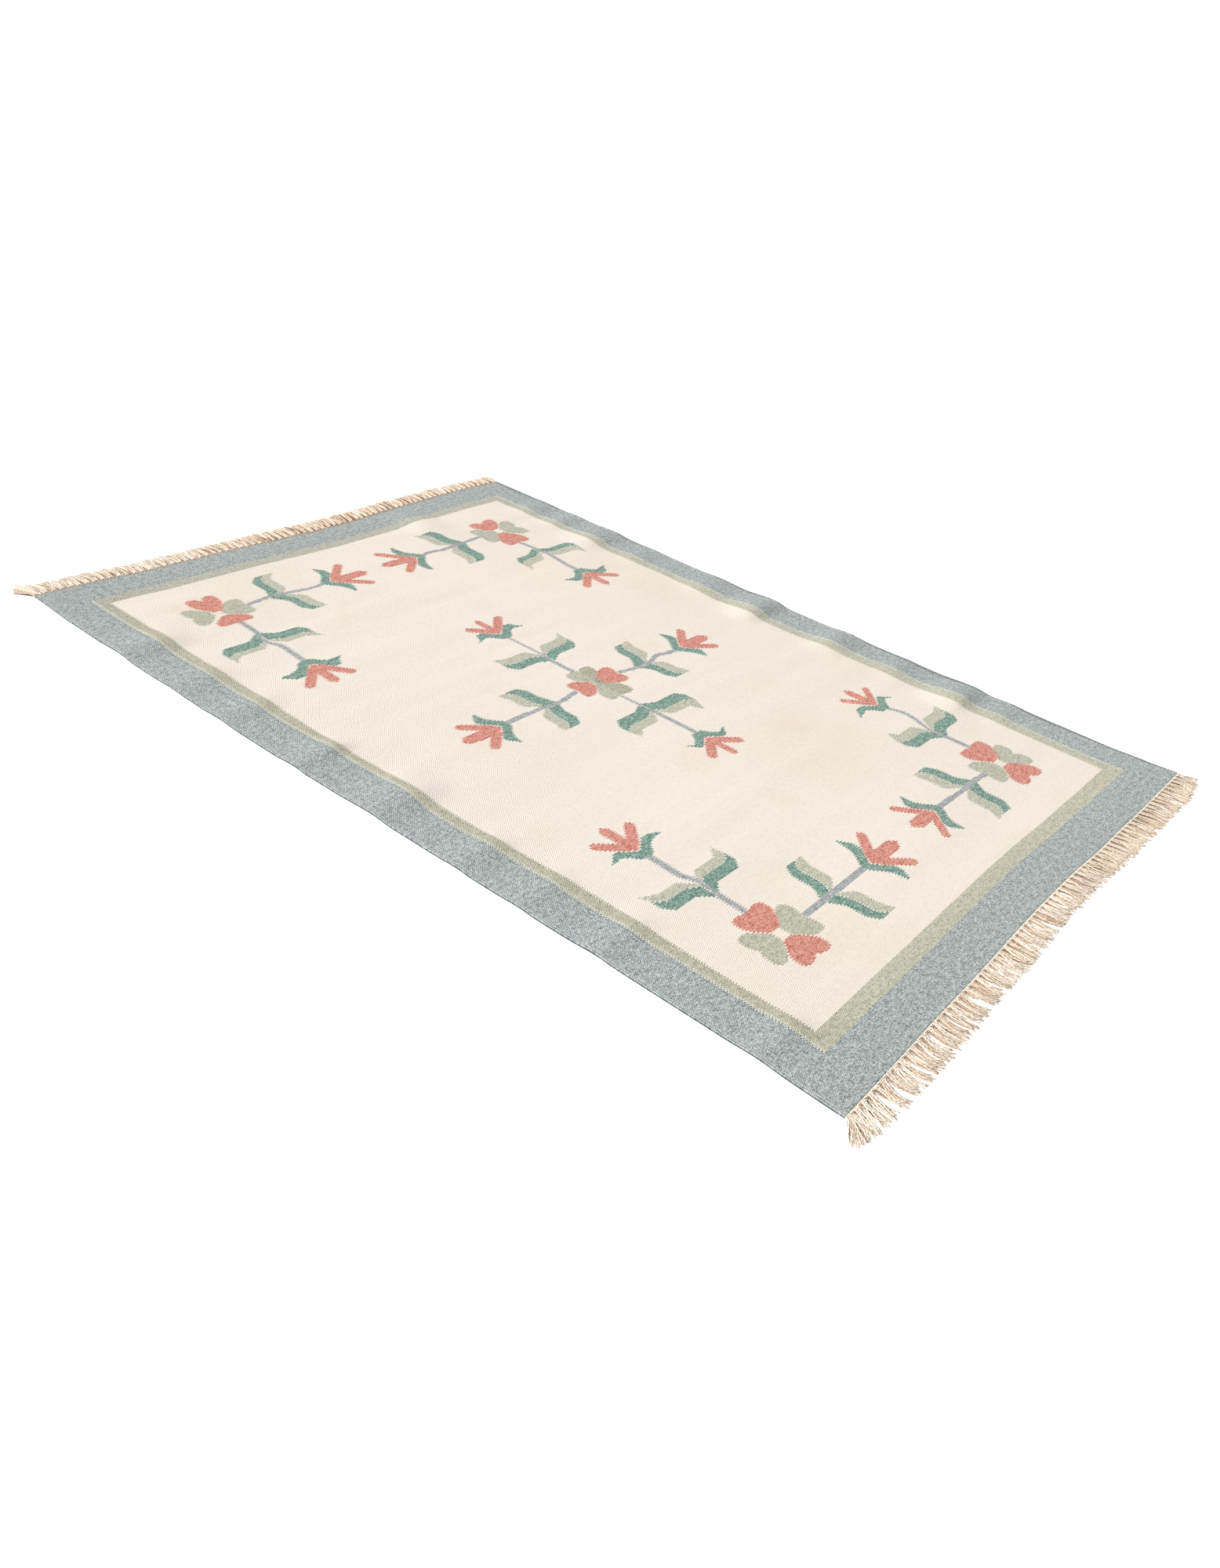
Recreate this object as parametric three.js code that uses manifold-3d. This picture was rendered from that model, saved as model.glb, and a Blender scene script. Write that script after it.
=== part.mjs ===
// A flat-woven wool rug with knotted fringes, lying on a floor.
// Millimetres, +Z up. The origin is on the floor under the middle of the cloth.
// X runs across the rug and Y along it, from the near fringe to the far one.
import * as THREE from "three";
import { mergeVertices } from "three/addons/utils/BufferGeometryUtils.js";
import Module from "manifold-3d";

// Cloth
const CLOTH_WIDTH = 1400;
const CLOTH_LENGTH = 2000;
const CLOTH_THICKNESS = 4;
const ROW_COUNT = 112;
const MIDDLE_COLUMN_COUNT = 6;

// Cross-section of the rounded selvedge, from the side edge inwards
const SELVEDGE_SECTION = [
  { inset: 0, bottom: 1, top: 3.4 },
  { inset: 4, bottom: 0, top: 5.2 },
  { inset: 12, bottom: 0, top: 4 },
];

// Grid columns of the rippled border, from the side edge inwards
const BORDER_INSETS = [55, 90, 135, 200];

// Each edge strays from the straight: how far out it lies at places along it
const RIGHT_EDGE = [
  { along: -1000, out: 4 },
  { along: -930, out: -3 },
  { along: -850, out: -10 },
  { along: -600, out: -10 },
  { along: -300, out: -8 },
  { along: -110, out: -10 },
  { along: 150, out: -6 },
  { along: 400, out: -2 },
  { along: 700, out: 4 },
  { along: 1000, out: 6 },
];
const LEFT_EDGE = [
  { along: -1000, out: 3 },
  { along: -830, out: -1 },
  { along: -600, out: 0 },
  { along: -400, out: 3 },
  { along: -200, out: 5 },
  { along: 0, out: 8 },
  { along: 250, out: 12 },
  { along: 600, out: 12 },
  { along: 850, out: 9 },
  { along: 1000, out: 3 },
];
const FAR_END = [
  { along: -700, out: 7 },
  { along: -550, out: 2 },
  { along: -450, out: -7 },
  { along: -250, out: -10 },
  { along: -50, out: -18 },
  { along: 20, out: -22 },
  { along: 150, out: -19 },
  { along: 300, out: -7 },
  { along: 530, out: 2 },
  { along: 700, out: -2 },
];
const NEAR_END = [
  { along: -700, out: -2 },
  { along: -350, out: -6 },
  { along: 0, out: -11 },
  { along: 100, out: -10 },
  { along: 300, out: -3 },
  { along: 500, out: 1 },
  { along: 700, out: 3 },
];

// Ripples stand up from the floor at the edges and die out inwards.
// A ripple is highest at peakInset; edgeShare is the part of its crest left at the very edge.
// low and high are its lengths along the edge before and after its crest.
const RIPPLES = [
  { edge: "right", along: -630, low: 40, high: 50, peakInset: 80, reach: 150, crest: 4, edgeShare: 0.5 },
  { edge: "right", along: -533, low: 44, high: 106, peakInset: 85, reach: 190, crest: 10.5, edgeShare: 0.45 },
  { edge: "right", along: -360, low: 50, high: 60, peakInset: 80, reach: 150, crest: 4.5, edgeShare: 0.3 },
  { edge: "right", along: -195, low: 70, high: 75, peakInset: 80, reach: 180, crest: 8, edgeShare: 0.55 },
  { edge: "right", along: 22, low: 50, high: 110, peakInset: 85, reach: 200, crest: 11.5, edgeShare: 0.6 },
  { edge: "right", along: 190, low: 100, high: 75, peakInset: 85, reach: 170, crest: 6, edgeShare: 0.5 },
  { edge: "right", along: 410, low: 60, high: 60, peakInset: 80, reach: 160, crest: 4, edgeShare: 0.3 },
  { edge: "right", along: 550, low: 60, high: 100, peakInset: 90, reach: 200, crest: 9, edgeShare: 0.4 },
  { edge: "right", along: 690, low: 50, high: 50, peakInset: 80, reach: 150, crest: 4, edgeShare: 0.5 },
  { edge: "right", along: 795, low: 50, high: 60, peakInset: 80, reach: 150, crest: 4, edgeShare: 0.3 },
  { edge: "left", along: -850, low: 50, high: 55, peakInset: 80, reach: 150, crest: 4, edgeShare: 0.5 },
  { edge: "left", along: -550, low: 45, high: 60, peakInset: 80, reach: 160, crest: 4, edgeShare: 0.6 },
  { edge: "left", along: -390, low: 45, high: 50, peakInset: 80, reach: 150, crest: 3.5, edgeShare: 0.6 },
  { edge: "left", along: -250, low: 45, high: 60, peakInset: 80, reach: 150, crest: 4, edgeShare: 0.6 },
  { edge: "left", along: -50, low: 60, high: 100, peakInset: 85, reach: 190, crest: 7, edgeShare: 0.6 },
  { edge: "left", along: 152, low: 38, high: 60, peakInset: 80, reach: 150, crest: 6, edgeShare: 0.5 },
  { edge: "left", along: 360, low: 48, high: 60, peakInset: 80, reach: 160, crest: 4.5, edgeShare: 0.5 },
  { edge: "left", along: 510, low: 60, high: 65, peakInset: 80, reach: 150, crest: 4, edgeShare: 0.5 },
  { edge: "left", along: 685, low: 60, high: 80, peakInset: 85, reach: 180, crest: 7, edgeShare: 0.6 },
  { edge: "far", along: 290, low: 80, high: 80, peakInset: 110, reach: 240, crest: 6, edgeShare: 0 },
];

// Fringe: locks of warp yarn, each knotted at the cloth's end and parted into strands
const FRINGE_GAP = 0.35;
const HEADER_WIDTH = 4;
const HEADER_HEIGHT = 4;
const LOCK_COUNT = 75;
const LOCK_SCATTER = 1.3;
const REACH_SCATTER = 3.5;
const LEAN_POWER = 1.4;

// A lock's two strands leave its knot close together and spread towards their tips
const STRAND_SECTIONS = [
  { share: 0, spread: 3.2, width: 5.6, height: 3.6 },
  { share: 0.5, spread: 4.3, width: 6.6, height: 3 },
  { share: 1, spread: 5, width: 3, height: 1.4 },
];

// How the locks lie along each end: reach is their length on the floor,
// and lean is how far the tips lie to +X of the roots
const NEAR_LOCKS = [
  { along: -700, lean: -40, reach: 38 },
  { along: -665, lean: -18, reach: 45 },
  { along: -600, lean: -5, reach: 51 },
  { along: -450, lean: -1, reach: 55 },
  { along: -300, lean: 3, reach: 49 },
  { along: -200, lean: -3, reach: 53 },
  { along: 0, lean: 6, reach: 49 },
  { along: 150, lean: 12, reach: 51 },
  { along: 300, lean: 8, reach: 53 },
  { along: 480, lean: 12, reach: 53 },
  { along: 600, lean: 6, reach: 55 },
  { along: 700, lean: 15, reach: 42 },
];
const FAR_LOCKS = [
  { along: -700, lean: -17, reach: 64 },
  { along: -650, lean: -6, reach: 58 },
  { along: -500, lean: 0, reach: 57 },
  { along: -250, lean: -2, reach: 58 },
  { along: 0, lean: 4, reach: 64 },
  { along: 200, lean: 12, reach: 62 },
  { along: 400, lean: 7, reach: 57 },
  { along: 700, lean: 10, reach: 50 },
];

const WOOL_COLOUR = 0xe9e0d0;
const FRINGE_COLOUR = 0xf0dcc2;
const YARN_ROUGHNESS = 0.95;

const HALF_WIDTH = CLOTH_WIDTH / 2;
const HALF_LENGTH = CLOTH_LENGTH / 2;

const wasm = await Module();
wasm.setup();

// Goes smoothly from 0 to 1 as t does
function ease(t) {
  const clamped = Math.min(Math.max(t, 0), 1);
  return clamped * clamped * (3 - 2 * clamped);
}

// Reads one column of a table at a place along its edge, smoothly between rows
function readTable(table, column, along) {
  if (along <= table[0].along) return table[0][column];
  for (let i = 1; i < table.length; i += 1) {
    const before = table[i - 1];
    const after = table[i];
    if (along <= after.along) {
      const t = (along - before.along) / (after.along - before.along);
      return before[column] + (after[column] - before[column]) * ease(t);
    }
  }
  return table[table.length - 1][column];
}

// A point of the straight rectangle, moved to where the uneven cloth has it
function place(x, y) {
  const sideTable = x > 0 ? RIGHT_EDGE : LEFT_EDGE;
  const endTable = y > 0 ? FAR_END : NEAR_END;
  const sideShare = (Math.abs(x) / HALF_WIDTH) ** 3;
  const endShare = (Math.abs(y) / HALF_LENGTH) ** 3;
  const sideOut = readTable(sideTable, "out", y) * sideShare;
  const endOut = readTable(endTable, "out", x) * endShare;
  return { x: x + Math.sign(x) * sideOut, y: y + Math.sign(y) * endOut };
}

// Height of one ripple's underside above the floor
function rippleHeight(ripple, x, y) {
  const across = { right: HALF_WIDTH - x, left: HALF_WIDTH + x, far: HALF_LENGTH - y };
  const inset = across[ripple.edge];
  const along = ripple.edge === "far" ? x : y;
  const fromCrest = along - ripple.along;
  const offset = fromCrest / (fromCrest < 0 ? ripple.low : ripple.high);
  if (Math.abs(offset) >= 1 || inset >= ripple.reach) return 0;
  const lengthShare = 0.5 + 0.5 * Math.cos(Math.PI * offset);
  const rise = ripple.edgeShare + (1 - ripple.edgeShare) * ease(inset / ripple.peakInset);
  const fall = 1 - ease((inset - ripple.peakInset) / (ripple.reach - ripple.peakInset));
  return ripple.crest * lengthShare * Math.min(rise, fall);
}

function liftAt(x, y) {
  return RIPPLES.reduce((height, ripple) => Math.max(height, rippleHeight(ripple, x, y)), 0);
}

// Columns of the cloth's grid, each with its underside and top height
function clothColumns() {
  const plain = BORDER_INSETS.map((inset) => ({ inset, bottom: 0, top: CLOTH_THICKNESS }));
  const border = [...SELVEDGE_SECTION, ...plain];
  const left = border.map((column) => ({ ...column, x: column.inset - HALF_WIDTH }));
  const right = border.map((column) => ({ ...column, x: HALF_WIDTH - column.inset })).reverse();
  const span = CLOTH_WIDTH - 2 * BORDER_INSETS.at(-1);
  const middle = [];
  for (let i = 1; i <= MIDDLE_COLUMN_COUNT; i += 1) {
    const x = (i / (MIDDLE_COLUMN_COUNT + 1) - 0.5) * span;
    middle.push({ x, bottom: 0, top: CLOTH_THICKNESS });
  }
  return [...left, ...middle, ...right];
}

// A closed body from rings of points: ring after ring, with a lid on the first and the last
function loftGeometry(rings) {
  const size = rings[0].length;
  const positions = rings.flat(2);
  const index = [];
  for (let r = 0; r < rings.length - 1; r += 1) {
    for (let k = 0; k < size; k += 1) {
      const next = (k + 1) % size;
      const a = r * size + k;
      const b = r * size + next;
      index.push(a, b, b + size, a, b + size, a + size);
    }
  }
  const last = (rings.length - 1) * size;
  for (let k = 1; k < size - 1; k += 1) {
    index.push(0, k + 1, k);
    index.push(last, last + k, last + k + 1);
  }
  const geometry = new THREE.BufferGeometry();
  geometry.setAttribute("position", new THREE.Float32BufferAttribute(positions, 3));
  geometry.setIndex(index);
  return geometry;
}

// The cloth: a grid for its top, the same grid for its underside, and four rims between them
function clothGeometry(columns) {
  const columnCount = columns.length;
  const layer = columnCount * (ROW_COUNT + 1);
  const positions = [];
  for (const face of ["top", "bottom"]) {
    for (let row = 0; row <= ROW_COUNT; row += 1) {
      const y = (row / ROW_COUNT - 0.5) * CLOTH_LENGTH;
      for (const column of columns) {
        const point = place(column.x, y);
        positions.push(point.x, point.y, column[face] + liftAt(column.x, y));
      }
    }
  }
  const index = [];
  for (let row = 0; row < ROW_COUNT; row += 1) {
    for (let i = 0; i < columnCount - 1; i += 1) {
      const a = row * columnCount + i;
      const b = a + 1;
      const c = b + columnCount;
      const d = a + columnCount;
      index.push(a, b, c, a, c, d);
      index.push(layer + a, layer + c, layer + b, layer + a, layer + d, layer + c);
    }
  }
  const rim = (from, to) => index.push(from, layer + from, layer + to, from, layer + to, to);
  const lastRow = ROW_COUNT * columnCount;
  for (let i = 0; i < columnCount - 1; i += 1) {
    rim(i, i + 1);
    rim(lastRow + i + 1, lastRow + i);
  }
  for (let row = 0; row < ROW_COUNT; row += 1) {
    const start = row * columnCount;
    const end = start + columnCount - 1;
    rim(start + columnCount, start);
    rim(end, end + columnCount);
  }
  const geometry = new THREE.BufferGeometry();
  geometry.setAttribute("position", new THREE.Float32BufferAttribute(positions, 3));
  geometry.setIndex(index);
  geometry.computeVertexNormals();
  return geometry;
}

// Where the cloth's straight grid edges put its end at x
function endLine(columns, side, x) {
  const points = columns.map((column) => place(column.x, side * HALF_LENGTH));
  const next = points.findIndex((point) => point.x > x);
  const before = points[next - 1];
  const after = points[next];
  const t = (x - before.x) / (after.x - before.x);
  return before.y + (after.y - before.y) * t;
}

function solidFrom(geometry) {
  const merged = mergeVertices(geometry);
  const mesh = new wasm.Mesh({
    numProp: 3,
    vertProperties: new Float32Array(merged.attributes.position.array),
    triVerts: new Uint32Array(merged.index.array),
  });
  return new wasm.Manifold(mesh);
}

function geometryFrom(solid) {
  const mesh = solid.getMesh();
  const geometry = new THREE.BufferGeometry();
  geometry.setAttribute("position", new THREE.BufferAttribute(mesh.vertProperties, mesh.numProp));
  geometry.setIndex(new THREE.BufferAttribute(mesh.triVerts, 1));
  geometry.computeVertexNormals();
  return geometry;
}

// A repeatable number between -1 and 1, one for each strand or lock
function scatter(seed) {
  const spun = Math.sin(seed * 12.9898) * 43758.5453;
  return 2 * (spun - Math.floor(spun)) - 1;
}

// The narrow header along the cloth's end, which holds the roots of all the strands
function headerGeometry(columns, side) {
  const rings = columns.map((column) => {
    const end = place(column.x, side * HALF_LENGTH);
    const inner = end.y + side * FRINGE_GAP;
    const outer = inner + side * HEADER_WIDTH;
    const ring = [
      [end.x, inner, 0],
      [end.x, inner, HEADER_HEIGHT],
      [end.x, outer, HEADER_HEIGHT],
      [end.x, outer, 0],
    ];
    return side > 0 ? ring.reverse() : ring;
  });
  return loftGeometry(rings);
}

// One strand, flat on the floor with a ridge on top, from inside the header to its tip.
// hand is -1 or 1: the side of its lock that the strand is on.
function strandGeometry(root, side, hand, lean, reach) {
  const rings = STRAND_SECTIONS.map((section) => {
    const x = root.x + hand * section.spread + lean * section.share ** LEAN_POWER;
    const y = root.y + side * reach * section.share;
    const half = section.width / 2;
    const ring = [[x - half, y, 0], [x + half, y, 0], [x, y, section.height]];
    return side > 0 ? ring.reverse() : ring;
  });
  return loftGeometry(rings);
}

// The whole fringe of one end: the header with its strands fused to it
function fringeGeometry(columns, side, table) {
  const corners = [columns[0], columns.at(-1)].map((column) => place(column.x, side * HALF_LENGTH));
  const lockPitch = (corners[1].x - corners[0].x) / LOCK_COUNT;
  let fringe = solidFrom(headerGeometry(columns, side));
  for (let lock = 0; lock < LOCK_COUNT; lock += 1) {
    const x = corners[0].x + (lock + 0.5) * lockPitch;
    const root = { x, y: endLine(columns, side, x) + side * (FRINGE_GAP + HEADER_WIDTH / 2) };
    const lean = readTable(table, "lean", x) + LOCK_SCATTER * scatter(lock + side);
    for (const hand of [-1, 1]) {
      const stray = REACH_SCATTER * scatter(7 * lock + hand + 3 * side);
      const reach = readTable(table, "reach", x) + stray;
      fringe = fringe.add(solidFrom(strandGeometry(root, side, hand, lean, reach)));
    }
  }
  return geometryFrom(fringe);
}

function yarnMaterial(color) {
  return new THREE.MeshStandardMaterial({ color, roughness: YARN_ROUGHNESS, metalness: 0 });
}

function piece(name, geometry, color) {
  const mesh = new THREE.Mesh(geometry, yarnMaterial(color));
  mesh.name = name;
  return mesh;
}

const columns = clothColumns();
const rug = new THREE.Group();
rug.add(piece("woven_cloth", clothGeometry(columns), WOOL_COLOUR));
rug.add(piece("fringe_near", fringeGeometry(columns, -1, NEAR_LOCKS), FRINGE_COLOUR));
rug.add(piece("fringe_far", fringeGeometry(columns, 1, FAR_LOCKS), FRINGE_COLOUR));

export default rug;
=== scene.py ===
"""A flat-woven wool rug with a yarn fringe at each end, lying on a pale studio floor.

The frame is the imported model's: metres, +Z up, the origin on the floor under the middle of the
cloth, X across the rug and Y along it. Tables and drawing sizes are in millimetres.
"""

import math
import random
from collections import namedtuple

import bpy
import numpy as np
from mathutils import Matrix, Vector, geometry


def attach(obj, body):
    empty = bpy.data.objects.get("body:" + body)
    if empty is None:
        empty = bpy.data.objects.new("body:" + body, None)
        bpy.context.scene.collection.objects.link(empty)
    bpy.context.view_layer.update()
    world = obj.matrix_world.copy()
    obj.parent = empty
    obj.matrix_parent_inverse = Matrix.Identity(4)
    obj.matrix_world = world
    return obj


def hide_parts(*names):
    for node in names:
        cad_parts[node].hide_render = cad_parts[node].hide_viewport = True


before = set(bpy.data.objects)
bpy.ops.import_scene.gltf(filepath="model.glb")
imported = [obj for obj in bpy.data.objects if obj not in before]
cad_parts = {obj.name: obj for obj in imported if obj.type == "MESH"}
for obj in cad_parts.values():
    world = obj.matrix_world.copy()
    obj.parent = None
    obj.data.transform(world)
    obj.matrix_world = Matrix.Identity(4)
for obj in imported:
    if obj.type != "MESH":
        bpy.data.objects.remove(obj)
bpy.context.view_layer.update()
draw = random.Random(11)

MM = 0.001

# Cloth
WIDTH = 1400.0
LENGTH = 2000.0
HALF_W = WIDTH / 2
HALF_L = LENGTH / 2
THICKNESS = 4.0
SELVEDGE_EXTRA = 1.2
SELVEDGE_WIDTH = 10.0
EDGE_RADIUS = 2.1
RIM_TOLERANCE = 0.01
NET_TOLERANCE = 0.001

# Weave: one row is a few weft passes, and neighbouring rows turn back one warp apart
ROW_COUNT = 728
ROW = LENGTH / ROW_COUNT
TOOTH = 2.0
BREAK_STEP = 0.25
SHORTEST_RUN = 1.0

# Slow unevenness of cloth that has been walked on, on top of the ripples
DRAPE_SLOW = 0.45
DRAPE_FINE = 0.18
DRAPE_INSET = 60.0

# Mesh spacing of the plain areas
GRID = 14.0
GRID_CLEARANCE = 4.0
EDGE_INSETS = (0.5, 1.5, 3.0, 5.0, 8.0, 12.0)
SIDE_STEP = 4.4

# How far each edge lies outside the straight rectangle, at places along it, and the power by
# which that fades inwards
EDGE_FADE = 3
RIGHT_EDGE = (
    (-1000, 4), (-930, -3), (-850, -10), (-600, -10), (-300, -8),
    (-110, -10), (150, -6), (400, -2), (700, 4), (1000, 6),
)
LEFT_EDGE = (
    (-1000, 3), (-830, -1), (-600, 0), (-400, 3), (-200, 5),
    (0, 8), (250, 12), (600, 12), (850, 9), (1000, 3),
)
FAR_END = (
    (-700, 7), (-550, 2), (-450, -7), (-250, -10), (-50, -18),
    (20, -22), (150, -19), (300, -7), (530, 2), (700, -2),
)
NEAR_END = ((-700, -2), (-350, -6), (0, -11), (100, -10), (300, -3), (500, 1), (700, 3))

# Ripples of the long sides and of the far end
Ripple = namedtuple("Ripple", "edge along low high peak_inset reach crest edge_share")
RIPPLES = [Ripple(*row) for row in (
    ("right", -630, 40, 50, 80, 150, 4, 0.5), ("right", -533, 44, 106, 85, 190, 10.5, 0.45),
    ("right", -360, 50, 60, 80, 150, 4.5, 0.3), ("right", -195, 70, 75, 80, 180, 8, 0.55),
    ("right", 22, 50, 110, 85, 200, 11.5, 0.6), ("right", 190, 100, 75, 85, 170, 6, 0.5),
    ("right", 410, 60, 60, 80, 160, 4, 0.3), ("right", 550, 60, 100, 90, 200, 9, 0.4),
    ("right", 690, 50, 50, 80, 150, 4, 0.5), ("right", 795, 50, 60, 80, 150, 4, 0.3),
    ("left", -850, 50, 55, 80, 150, 4, 0.5), ("left", -550, 45, 60, 80, 160, 4, 0.6),
    ("left", -390, 45, 50, 80, 150, 3.5, 0.6), ("left", -250, 45, 60, 80, 150, 4, 0.6),
    ("left", -50, 60, 100, 85, 190, 7, 0.6), ("left", 152, 38, 60, 80, 150, 6, 0.5),
    ("left", 360, 48, 60, 80, 160, 4.5, 0.5), ("left", 510, 60, 65, 80, 150, 4, 0.5),
    ("left", 685, 60, 80, 85, 180, 7, 0.6), ("far", 290, 80, 80, 110, 240, 6, 0),
)]

# Borders: the sage band's half widths at places along the rug
SAGE_OUTER_RIGHT = (
    (-1000, 612), (-750, 611), (-600, 616), (-450, 614), (-300, 616), (-150, 608),
    (0, 605), (150, 609), (300, 612), (750, 612), (1000, 618),
)
SAGE_INNER_RIGHT = (
    (-1000, 580), (-300, 580), (0, 576), (140, 575), (300, 588), (450, 582), (620, 589),
    (1000, 588),
)
SAGE_OUTER_LEFT = (
    (-1000, 615), (-600, 616), (-300, 615), (-150, 621), (0, 611), (150, 615), (300, 620),
    (1000, 620),
)
SAGE_INNER_LEFT = (
    (-1000, 587), (-750, 590), (-450, 585), (-150, 594), (0, 591), (150, 595), (450, 592),
    (1000, 592),
)
SAGE_OUTER_FAR = 921.0
SAGE_INNER_FAR = 890.0
SAGE_OUTER_NEAR = 914.0
SAGE_INNER_NEAR = 883.0
SAGE_STEPS = 41

# Lines along the sides of the sage band: where it interlocks with the blue, lit on the right and
# shaded on the left, and on the left a lit outer margin and a shaded inner one
JOIN_LIT = 3.2
JOIN_SHADED = 2.2
MARGIN_LIT = 5.0
MARGIN_SHADED = 2.2

# Selvedges, in painted light: insets of the painted shade on the dark outermost cord of the rim
# and of the painted highlight on the pale ridge line beside it on the left, and how far in the
# right rim's painted shade reaches, where it curls down away from the light, at places along it
RIM_SHADE_INSET = {"left": 0.7, "right": 3.0}
RIDGE_HIGHLIGHT = (5.0, 8.0)
RIGHT_CURL_SHADE = (
    (-1000, 5), (-900, 9), (-800, 9), (-700, 12), (-600, 5), (-450, 12), (-300, 9), (-150, 3),
    (0, 5), (150, 9), (280, 3), (350, 3), (520, 8), (600, 2), (700, 3), (800, 8), (950, 12),
    (1000, 8),
)
CURL_SHADE_LIMIT = 12.0

# Motifs: four hearts round a centre. A heart's row gives the way it points outwards, the places
# of its tip and its lobes along that way, its axis across it, its width and its notch.
Heart = namedtuple("Heart", "motif way tip lobes axis width notch")
CENTRES = {
    "near_left": (-431.5, -721),
    "far_left": (-440.5, 730.5),
    "far_right": (431.5, 731),
    "near_right": (415, -723.5),
    "middle": (-6, 20.5),
}
HEARTS = [Heart(motif, *row) for motif, rows in (
    ("near_left", (
        ("-X", 13, 73, -1, 87, 8), ("+X", 11, 75, 0, 88, 4),
        ("+Y", 11, 75, 3, 88, 6), ("-Y", 13, 75, 0, 84, 8),
    )),
    ("far_left", (
        ("-X", 14, 68, 6, 82, 10), ("+X", 8, 74, 3, 76, 4),
        ("+Y", 8, 85, 4, 73, 18), ("-Y", 16, 61, 6, 84, 2),
    )),
    ("far_right", (
        ("-X", 12, 76, -3, 90, 3), ("+X", 10, 73, -3, 90, 13),
        ("+Y", 13, 73, -3, 87, 12), ("-Y", 12, 85, -8, 82, 7),
    )),
    ("near_right", (
        ("-X", 13, 76, 1, 85, 5), ("+X", 10, 76, -1, 85, 14),
        ("+Y", 11, 79, 5, 94, 4), ("-Y", 11, 75, 1, 93, 12),
    )),
    ("middle", (
        ("+Y", 0, 65, -1, 78, 8), ("-Y", 0, 69, -2, 80, 4),
        ("-X", 17, 71, 1, 67, 5), ("+X", 5, 71, 3, 69, 5),
    )),
) for row in rows]

# The hearts' wools by their ways, of the low half and of the high one
CORNER_WOOLS = {"X": ("sage_heart", "sage_heart"), "Y": ("coral", "coral")}
MIDDLE_WOOLS = {"X": ("coral", "coral"), "Y": ("sage_heart", "sage_dark")}

# Small areas where the middle hearts meet
MIDDLE_JOINS = (
    ("dark_green", ((-12, 30), (-2, 30), (3, 18), (-6, 20))),
    ("stem", ((-19, 16), (-7, 18), (-3, 8), (-15, 7))),
)

# Sprays: each grows outwards from its hearts. Lengths are from the motif's centre along the way,
# and across it from the spray's own axis. low is the side of smaller X or Y, high the other.
# stem: its widths before and after the leaves. sway: how far the stem strays across the axis at
# the hearts, the leaves' root, the leaves, past them, before the cup and at the cup.
# leaf: root, near edge, divide of the two halves, far edge. slant: how much nearer the high
# leaf lies than the low one. hooks, tips and petals: (along, across) of the points they end in.
Spray = namedtuple(
    "Spray",
    "motif way axis stem sway start leaf slant leaf_low leaf_high hook_low hook_high"
    " base tip_low tip_high petal_low petal petal_high",
)
STRAIGHT = (0, 0, 0, 0, 0, 0)
SPRAYS = [Spray(*row) for row in (
    ("near_left", "+Y", 3, (14, 15), (1, 2, 8, -3, -1, 0), 68, (127, 153, 178, 200), 0,
     -101, 112, (217, -109), (220, 106), 276, (300, -68), (307, 73),
     (357, -55), (387, -2), (361, 51)),
    ("near_left", "+X", -1, (14, 14), STRAIGHT, 70, (130, 151, 177, 204), 0,
     -98, 98, (218, -98), (218, 98), 275, (309, -75), (309, 78),
     (366, -56), (400, 2), (366, 60)),
    ("far_left", "+X", 0, (12, 12), (0, 8, 5, -2, -6, 0), 68, (134, 153, 178, 202), 11,
     -96, 111, (216, -97), (221, 110), 279, (315, -74), (310, 80),
     (380, -59), (410, -1), (378, 67)),
    ("far_left", "-Y", 4, (13, 14), (6, 3, -7, 6, 3, 1), 58, (122, 144, 172, 190), 0,
     -110, 100, (212, -108), (210, 108), 276, (311, -82), (302, 74),
     (372, -61), (389, -4), (372, 50)),
    ("far_right", "-X", -4, (12, 13), (5, 0, -3, -3, 6, 1), 68, (134, 150, 183, 209), 0,
     -107, 98, (227, -106), (219, 104), 283, (321, -79), (317, 82),
     (379, -55), (414, 8), (378, 72)),
    ("far_right", "-Y", -14, (12, 14), (4, 9, 12, 8, 0, 0), 78, (131, 150, 171, 197), 0,
     -94, 119, (224, -98), (225, 114), 286, (312, -78), (306, 83),
     (371, -61), (394, -2), (367, 63)),
    ("near_right", "-X", 4, (13, 13), (-2, 1, 0, 0, 1, 0), 68, (117, 139, 168, 198), 0,
     -98, 96, (215, -98), (206, 96), 271, (302, -72), (300, 73),
     (354, -58), (381, 3), (354, 61)),
    ("near_right", "+Y", 6, (14, 12), (1, 0, -3, 14, 19, 4), 72, (127, 147, 174, 202), 0,
     -111, 108, (221, -99), (215, 108), 276, (294, -82), (298, 63),
     (361, -49), (384, -2), (358, 50)),
    ("middle", "-X", -2, (12, 13), (4, -6, 0, 1, 3, 2), 70, (141, 153, 184, 210), 0,
     -90, 90, (216, -90), (223, 90), 282, (313, -67), (313, 68),
     (371, -50), (407, 1), (374, 49)),
    ("middle", "+X", -4, (11, 12), (7, -4, -6, 7, -1, -2), 68, (120, 144, 171, 199), 0,
     -86, 92, (210, -85), (210, 93), 267, (303, -64), (301, 72),
     (367, -49), (391, -2), (362, 54)),
    ("middle", "+Y", -5, (12, 7), (-4, -5, 0, 0, 0, 0), 60, (122, 140, 164, 191), 0,
     -107, 106, (203, -108), (213, 110), 261, (277, -73), (282, 74),
     (340, -48), (365, 0), (348, 59)),
    ("middle", "-Y", -5, (7, 12), (-3, -2, 0, 0, 0, 0), 60, (115, 131, 161, 186), 0,
     -110, 115, (204, -101), (213, 98), 263, (282, -63), (282, 69),
     (341, -52), (367, 0), (339, 52)),
)]

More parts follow.
